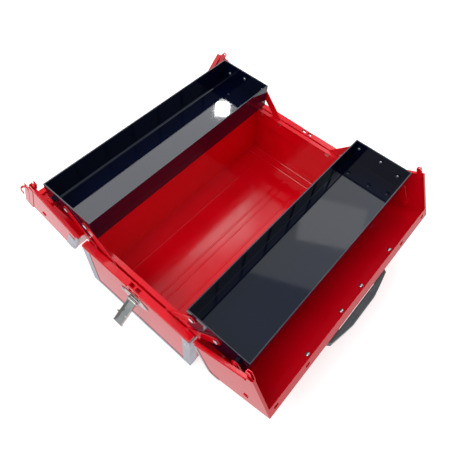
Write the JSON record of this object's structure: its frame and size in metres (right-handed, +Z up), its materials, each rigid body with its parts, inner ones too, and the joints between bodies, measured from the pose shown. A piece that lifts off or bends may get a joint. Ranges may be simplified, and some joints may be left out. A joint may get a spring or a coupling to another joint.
{
  "type": "cantilever tool box",
  "caption": "Long red sheet-metal tool box, open: trays swing out on links over the base, and lids hinge out from both long sides; a bow handle and end latches.",
  "frame": {"origin": "middle of the base's underside", "axes": "+X to the lid that carries the handle, +Y along the box to its far end, +Z up; the rest pose is open"},
  "size_m": [0.567, 0.5542, 0.1924],
  "materials": {
    "red_paint": "gloss",
    "black_paint": "gloss",
    "guard_steel": "satin",
    "nickel": "satin nickel plate",
    "rivet_steel": "satin",
    "black_plastic": "satin"
  },
  "bodies": {
    "base": {"base_shell": "red_paint", "link_rail_near": "red_paint", "link_rail_far": "red_paint", "base_guard_near_right": "guard_steel", "base_guard_far_right": "guard_steel", "base_guard_far_left": "guard_steel", "base_guard_near_left": "guard_steel", "base_trim_near": "guard_steel", "base_trim_far": "guard_steel", "base_rivets": "rivet_steel", "base_pivots": "rivet_steel", "hinge_base_leaf_right": "rivet_steel", "hinge_base_leaf_left": "rivet_steel", "hinge_pin_right": "rivet_steel", "hinge_pin_left": "rivet_steel", "latch_plate_near": "nickel", "latch_plate_far": "nickel", "latch_pin_near": "rivet_steel", "latch_pin_far": "rivet_steel"},
    "lid_right": {"lid_right": "red_paint", "catch_tabs_right": "red_paint", "lid_guard_near_right": "guard_steel", "lid_guard_far_right": "guard_steel", "lid_rivets_right": "rivet_steel", "hinge_lid_leaf_right": "rivet_steel", "drive_pivots_right": "rivet_steel", "handle_bracket_near": "rivet_steel", "handle_bracket_far": "rivet_steel", "handle_screws": "rivet_steel", "handle_pins": "rivet_steel"},
    "middle_links_right": {"middle_link_near_right": "red_paint", "middle_link_far_right": "red_paint"},
    "inner_links_right": {"inner_link_near_right": "red_paint", "inner_link_far_right": "red_paint"},
    "tray_right": {"tray_right": "black_paint", "tray_pivots_right": "rivet_steel"},
    "drive_links_right": {"drive_link_near_right": "red_paint", "drive_link_far_right": "red_paint", "drive_rivets_right": "rivet_steel"},
    "lid_left": {"lid_left": "red_paint", "catch_tabs_left": "red_paint", "lid_guard_near_left": "guard_steel", "lid_guard_far_left": "guard_steel", "lid_rivets_left": "rivet_steel", "hinge_lid_leaf_left": "rivet_steel", "drive_pivots_left": "rivet_steel", "seam_lip": "red_paint"},
    "middle_links_left": {"middle_link_near_left": "red_paint", "middle_link_far_left": "red_paint"},
    "inner_links_left": {"inner_link_near_left": "red_paint", "inner_link_far_left": "red_paint"},
    "tray_left": {"tray_left": "black_paint", "tray_pivots_left": "rivet_steel"},
    "drive_links_left": {"drive_link_near_left": "red_paint", "drive_link_far_left": "red_paint", "drive_rivets_left": "rivet_steel"},
    "handle": {"handle_grip": "black_plastic"},
    "latch_near": {"latch_lever_near": "nickel"},
    "latch_far": {"latch_lever_far": "nickel"}
  },
  "joints": [
    {"name": "lid_right_hinge", "type": "hinge", "parent": "base", "child": "lid_right", "pos_m": [0.1228, 0, 0.1237], "axis": [0, -1, 0], "range_deg": [0, 153]},
    {"name": "middle_links_right_pivot", "type": "hinge", "parent": "base", "child": "middle_links_right", "pos_m": [0.10431, 0, 0.11042], "axis": [0, -1, 0], "range_deg": [0, 81.22]},
    {"name": "inner_links_right_pivot", "type": "hinge", "parent": "base", "child": "inner_links_right", "pos_m": [0.05881, 0, 0.11042], "axis": [0, -1, 0], "range_deg": [0, 81.22]},
    {"name": "tray_right_pivot", "type": "hinge", "parent": "middle_links_right", "child": "tray_right", "pos_m": [0.158, 0, 0.167], "axis": [0, 1, 0], "range_deg": [0, 81.22]},
    {"name": "drive_links_right_pivot", "type": "hinge", "parent": "lid_right", "child": "drive_links_right", "pos_m": [0.22817, 0, 0.1059], "axis": [0, -1, 0], "range_deg": [0, 63.81]},
    {"name": "lid_left_hinge", "type": "hinge", "parent": "base", "child": "lid_left", "pos_m": [-0.1228, 0, 0.1237], "axis": [0, 1, 0], "range_deg": [0, 156]},
    {"name": "middle_links_left_pivot", "type": "hinge", "parent": "base", "child": "middle_links_left", "pos_m": [-0.10431, 0, 0.11042], "axis": [0, 1, 0], "range_deg": [0, 81.22]},
    {"name": "inner_links_left_pivot", "type": "hinge", "parent": "base", "child": "inner_links_left", "pos_m": [-0.05881, 0, 0.11042], "axis": [0, 1, 0], "range_deg": [0, 81.22]},
    {"name": "tray_left_pivot", "type": "hinge", "parent": "middle_links_left", "child": "tray_left", "pos_m": [-0.158, 0, 0.167], "axis": [0, -1, 0], "range_deg": [0, 81.22]},
    {"name": "drive_links_left_pivot", "type": "hinge", "parent": "lid_left", "child": "drive_links_left", "pos_m": [-0.22709, 0, 0.1004], "axis": [0, 1, 0], "range_deg": [0, 64.07]},
    {"name": "handle_swing", "type": "hinge", "parent": "lid_right", "child": "handle", "pos_m": [0.26071, 0, 0.08498], "axis": [0, -1, 0], "range_deg": [-145, 15]},
    {"name": "latch_near_hinge", "type": "hinge", "parent": "base", "child": "latch_near", "pos_m": [0, -0.2405, 0.088], "axis": [-1, 0, 0], "range_deg": [0, 124]},
    {"name": "latch_far_hinge", "type": "hinge", "parent": "base", "child": "latch_far", "pos_m": [0, 0.2405, 0.088], "axis": [1, 0, 0], "range_deg": [0, 124]}
  ],
  "couplings": [
    {"joint": "middle_links_right_pivot", "follows": "lid_right_hinge", "ratio": 0.53077},
    {"joint": "inner_links_right_pivot", "follows": "lid_right_hinge", "ratio": 0.53077},
    {"joint": "tray_right_pivot", "follows": "lid_right_hinge", "ratio": 0.53077},
    {"joint": "drive_links_right_pivot", "follows": "lid_right_hinge", "ratio": 0.41697},
    {"joint": "middle_links_left_pivot", "follows": "lid_left_hinge", "ratio": 0.52057},
    {"joint": "inner_links_left_pivot", "follows": "lid_left_hinge", "ratio": 0.52057},
    {"joint": "tray_left_pivot", "follows": "lid_left_hinge", "ratio": 0.52057},
    {"joint": "drive_links_left_pivot", "follows": "lid_left_hinge", "ratio": 0.41058}
  ]
}
